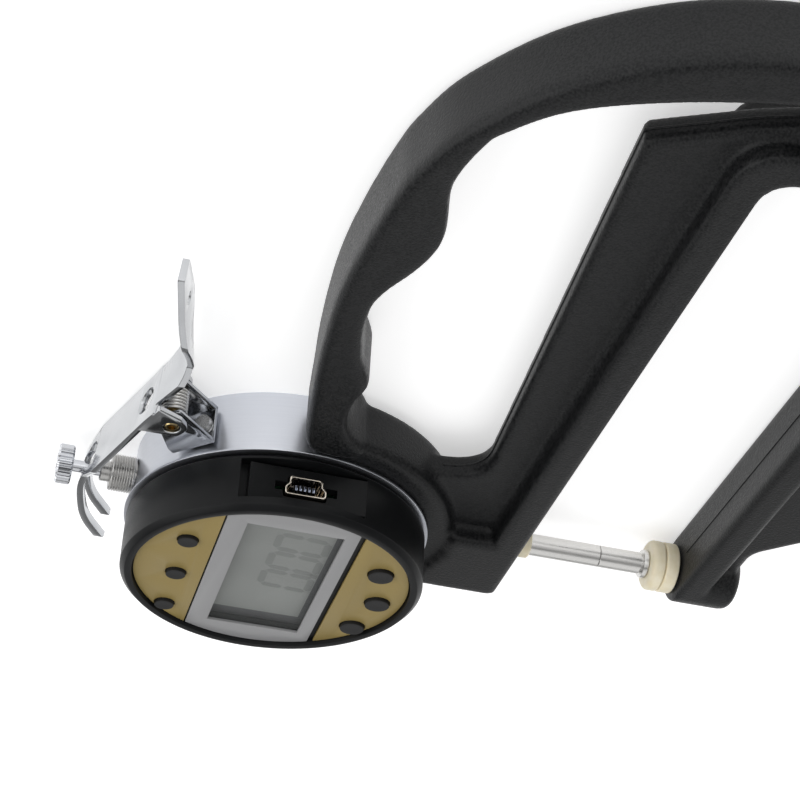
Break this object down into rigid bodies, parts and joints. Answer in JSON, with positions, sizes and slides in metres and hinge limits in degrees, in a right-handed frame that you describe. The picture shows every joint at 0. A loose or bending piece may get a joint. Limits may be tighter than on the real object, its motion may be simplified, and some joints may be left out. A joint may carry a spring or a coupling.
{
  "type": "digital thickness gauge",
  "caption": "Deep-throat digital thickness gauge: cast frame with a finger handle, round display unit, sprung spindle with ceramic contacts and a hinged lifting lever.",
  "frame": {"origin": "centre of the flat back face of the indicator, on which the gauge lies", "axes": "+X into the throat, +Y along the spindle from the anvil to the knob, +Z out of the display"},
  "size_m": [0.183, 0.15, 0.0253],
  "materials": {
    "casting": "fine textured black coating on a cast frame",
    "satin": "satin, fine turned grain",
    "chrome": "bright nickel or chrome plate",
    "steel": "ground bright steel",
    "plastic": "fine moulded black",
    "gold": "satin gold printed face",
    "band": "light silver grey print",
    "lens": "clear window",
    "display": "grey reflective display",
    "rubber": "matte dark grey",
    "board": "green coated laminate",
    "ceramic": "cream, finely ground",
    "bronze": "turned bronze"
  },
  "bodies": {
    "gauge_body": {"frame": "casting", "stem": "steel", "lower_bush": "ceramic", "upper_bush": "bronze", "stem_clamp_screw": "steel", "indicator_case": "satin", "back_cover": "satin", "front_housing": "plastic", "face_plate_upper": "gold", "face_plate_lower": "gold", "window_band": "band", "window_lens": "lens", "display_glass": "display", "contact_strip_upper": "rubber", "contact_strip_lower": "rubber", "keypad_upper": "rubber", "keypad_lower": "rubber", "main_board": "board", "battery": "chrome", "battery_clip": "steel", "sensor_head": "plastic", "anvil_contact": "ceramic", "anvil_screw": "steel", "top_collar": "steel", "return_spring": "steel", "port_panel": "plastic", "port_shell": "chrome", "port_tongue": "plastic", "lever_pin": "steel", "lever_bracket": "chrome", "lever_spring": "steel", "cover_screw_1": "steel", "housing_screw_1": "steel", "cover_screw_2": "steel", "housing_screw_2": "steel", "cover_screw_3": "steel", "housing_screw_3": "steel", "cover_screw_4": "steel", "housing_screw_4": "steel", "bracket_screw_1": "steel", "bracket_screw_2": "steel"},
    "spindle_group": {"spindle": "steel", "extension_rod": "steel", "moving_contact": "ceramic", "lift_rod": "chrome", "lift_knob": "chrome", "carriage": "bronze", "guide_pin": "steel", "scale_plate": "board"},
    "lever": {"lifting_lever": "chrome"},
    "button_upper_right": {"button_upper_right": "rubber"},
    "button_upper_middle": {"button_upper_middle": "rubber"},
    "button_upper_left": {"button_upper_left": "rubber"},
    "button_lower_right": {"button_lower_right": "rubber"},
    "button_lower_middle": {"button_lower_middle": "rubber"},
    "button_lower_left": {"button_lower_left": "rubber"}
  },
  "joints": [
    {"name": "spindle_slide", "type": "slide", "parent": "gauge_body", "child": "spindle_group", "axis": [0, 1, 0], "range_m": [0, 0.01], "stiffness_N_per_m": 60, "springref_m": -0.01, "deforming": ["return_spring"]},
    {"name": "lever_hinge", "type": "hinge", "parent": "gauge_body", "child": "lever", "pos_m": [0.02849, 0.02549, 0.0069], "axis": [0, 0, -1], "range_deg": [0, 20], "stiffness_Nm_per_rad": 0.004, "springref_deg": -11.46},
    {"name": "button_upper_right_press", "type": "slide", "parent": "gauge_body", "child": "button_upper_right", "axis": [0, 0, -1], "range_m": [0, 0.0004], "stiffness_N_per_m": 800, "springref_m": -0.0004},
    {"name": "button_upper_middle_press", "type": "slide", "parent": "gauge_body", "child": "button_upper_middle", "axis": [0, 0, -1], "range_m": [0, 0.0004], "stiffness_N_per_m": 800, "springref_m": -0.0004},
    {"name": "button_upper_left_press", "type": "slide", "parent": "gauge_body", "child": "button_upper_left", "axis": [0, 0, -1], "range_m": [0, 0.0004], "stiffness_N_per_m": 800, "springref_m": -0.0004},
    {"name": "button_lower_right_press", "type": "slide", "parent": "gauge_body", "child": "button_lower_right", "axis": [0, 0, -1], "range_m": [0, 0.0004], "stiffness_N_per_m": 800, "springref_m": -0.0004},
    {"name": "button_lower_middle_press", "type": "slide", "parent": "gauge_body", "child": "button_lower_middle", "axis": [0, 0, -1], "range_m": [0, 0.0004], "stiffness_N_per_m": 800, "springref_m": -0.0004},
    {"name": "button_lower_left_press", "type": "slide", "parent": "gauge_body", "child": "button_lower_left", "axis": [0, 0, -1], "range_m": [0, 0.0004], "stiffness_N_per_m": 800, "springref_m": -0.0004}
  ],
  "couplings": [
    {"joint": "lever_hinge", "follows": "spindle_slide", "rad_per_m": 34.9}
  ]
}
